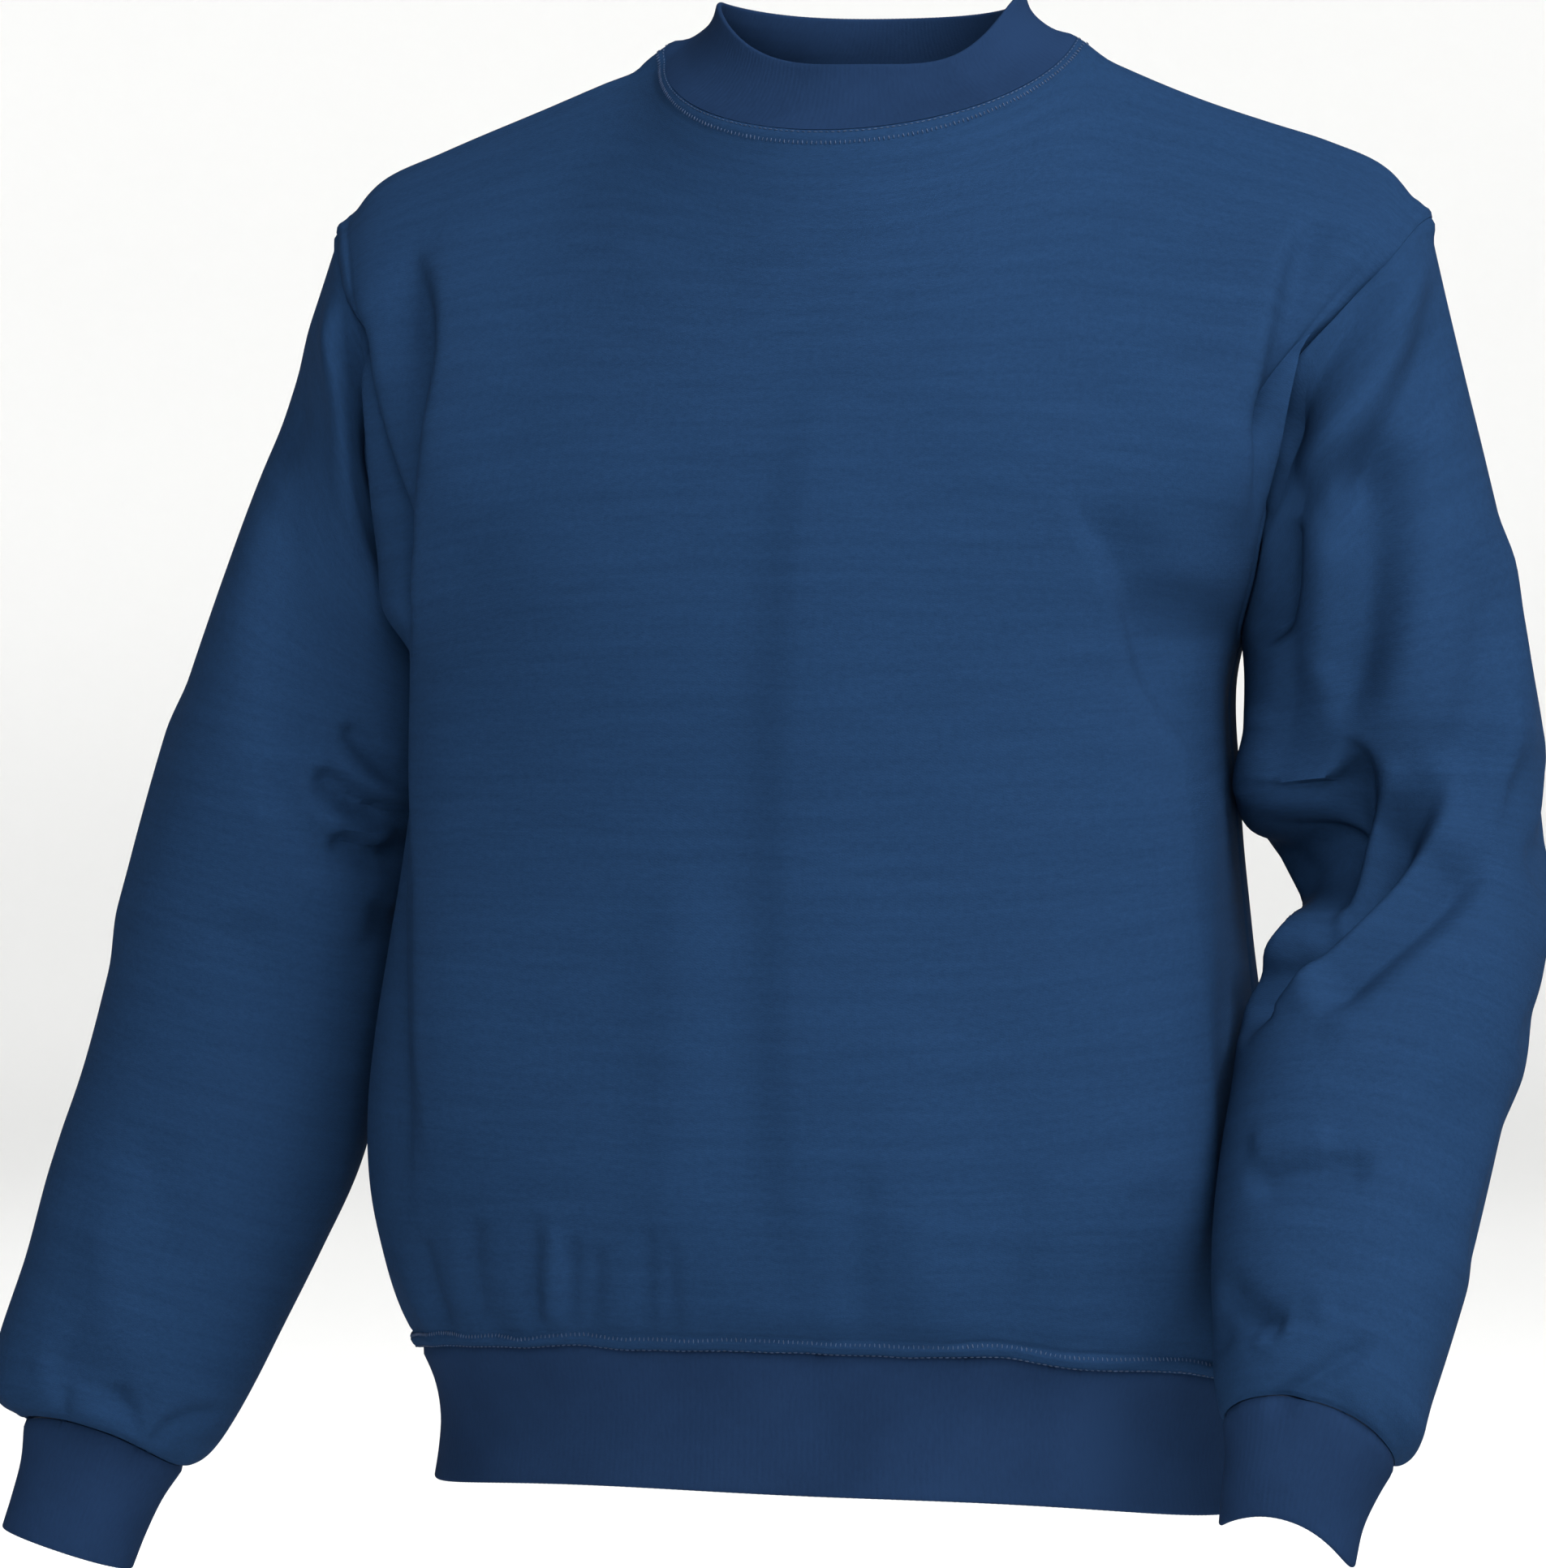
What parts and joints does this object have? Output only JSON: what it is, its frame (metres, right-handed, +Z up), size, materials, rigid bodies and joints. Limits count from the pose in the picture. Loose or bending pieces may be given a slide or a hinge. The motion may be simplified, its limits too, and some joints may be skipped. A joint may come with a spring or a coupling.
{
  "type": "crewneck sweatshirt",
  "caption": "Long-sleeved pullover with a ribbed crew collar, ribbed cuffs and a ribbed waistband, filled out as worn",
  "frame": {"origin": "midway between the two points where a shoulder seam meets the collar, where a wearer's shoulders hold the garment up", "axes": "+Z up along the body, the front faces -Y, +X towards the wearer's left sleeve"},
  "size_m": [0.7653, 0.3121, 0.7658],
  "materials": {
    "fleece": "soft matt cotton fleece, smooth knitted face, dark blue",
    "rib": "fine matt rib knit, dark blue"
  },
  "bodies": {
    "root": {"front_panel": "fleece", "back_panel": "fleece", "sleeve_right": "fleece", "sleeve_left": "fleece", "cuff_right": "rib", "cuff_left": "rib", "neck_rib": "rib", "waistband_rib": "rib"}
  },
  "joints": []
}
